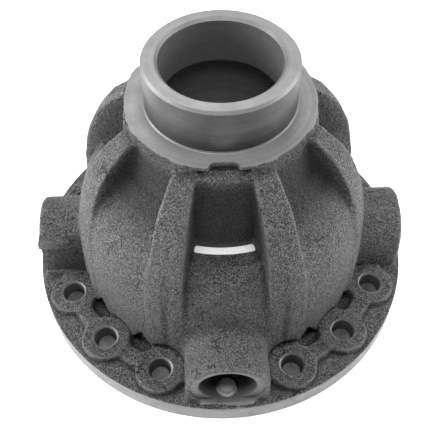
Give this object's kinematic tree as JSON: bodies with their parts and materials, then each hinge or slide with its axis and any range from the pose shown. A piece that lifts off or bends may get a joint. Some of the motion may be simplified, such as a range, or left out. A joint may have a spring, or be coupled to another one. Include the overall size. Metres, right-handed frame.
{
  "type": "differential gear assembly",
  "caption": "Bevel-gear differential with a ribbed cast case, bearing journals at both ends, a bolt flange, radial cross-pin bosses and a coupled side gear and pinion set.",
  "frame": {"origin": "centre of the lower journal's end face, on which the assembly stands", "axes": "+Z along the axle axis, from the lower journal to the journal of the flanged case; -Y towards the side called front; the four cross-pin bosses lie on +X, -X, +Y and -Y"},
  "size_m": [0.248, 0.248, 0.2548],
  "materials": {
    "cast_iron_case": "as-cast grain with fine-turned journals, faces and rim",
    "gear_steel": "machined and case-hardened",
    "hardened_steel": "hardened and ground",
    "zinc_screw": "zinc plated",
    "bronze_washer": "satin",
    "dark_fastener": "phosphated"
  },
  "bodies": {
    "case": {"flanged_case": "cast_iron_case", "lower_case": "cast_iron_case", "long_cross_pin": "hardened_steel", "short_cross_pin_right": "hardened_steel", "short_cross_pin_left": "hardened_steel", "cross_pin_block": "hardened_steel", "upper_thrust_washer": "hardened_steel", "lower_thrust_washer": "hardened_steel", "pinion_washer_front": "bronze_washer", "pinion_washer_right": "bronze_washer", "pinion_washer_back": "bronze_washer", "pinion_washer_left": "bronze_washer", "lock_screw_front": "zinc_screw", "lock_screw_right": "zinc_screw", "lock_screw_back": "zinc_screw", "lock_screw_left": "zinc_screw", "flange_bolt_01": "dark_fastener", "flange_bolt_02": "dark_fastener", "flange_bolt_03": "dark_fastener", "flange_bolt_04": "dark_fastener", "flange_bolt_05": "dark_fastener", "flange_bolt_06": "dark_fastener", "flange_bolt_07": "dark_fastener", "flange_bolt_08": "dark_fastener", "flange_bolt_09": "dark_fastener", "flange_bolt_10": "dark_fastener", "flange_bolt_11": "dark_fastener", "flange_bolt_12": "dark_fastener"},
    "upper_side_gear": {"upper_side_gear": "gear_steel"},
    "lower_side_gear": {"lower_side_gear": "gear_steel"},
    "pinion_front": {"pinion_front": "gear_steel"},
    "pinion_right": {"pinion_right": "gear_steel"},
    "pinion_back": {"pinion_back": "gear_steel"},
    "pinion_left": {"pinion_left": "gear_steel"}
  },
  "joints": [
    {"name": "upper_side_gear_spin", "type": "hinge", "parent": "case", "child": "upper_side_gear", "pos_m": [0, 0, 0.108], "axis": [0, 0, 1], "continuous": true},
    {"name": "lower_side_gear_spin", "type": "hinge", "parent": "case", "child": "lower_side_gear", "pos_m": [0, 0, 0.108], "axis": [0, 0, 1], "continuous": true},
    {"name": "pinion_front_spin", "type": "hinge", "parent": "case", "child": "pinion_front", "pos_m": [0, 0, 0.108], "axis": [0, -1, 0], "continuous": true},
    {"name": "pinion_right_spin", "type": "hinge", "parent": "case", "child": "pinion_right", "pos_m": [0, 0, 0.108], "axis": [1, 0, 0], "continuous": true},
    {"name": "pinion_back_spin", "type": "hinge", "parent": "case", "child": "pinion_back", "pos_m": [0, 0, 0.108], "axis": [0, 1, 0], "continuous": true},
    {"name": "pinion_left_spin", "type": "hinge", "parent": "case", "child": "pinion_left", "pos_m": [0, 0, 0.108], "axis": [-1, 0, 0], "continuous": true}
  ],
  "couplings": [
    {"joint": "lower_side_gear_spin", "follows": "upper_side_gear_spin", "ratio": -1},
    {"joint": "pinion_front_spin", "follows": "upper_side_gear_spin", "ratio": -1.6},
    {"joint": "pinion_right_spin", "follows": "upper_side_gear_spin", "ratio": -1.6},
    {"joint": "pinion_back_spin", "follows": "upper_side_gear_spin", "ratio": -1.6},
    {"joint": "pinion_left_spin", "follows": "upper_side_gear_spin", "ratio": -1.6}
  ]
}
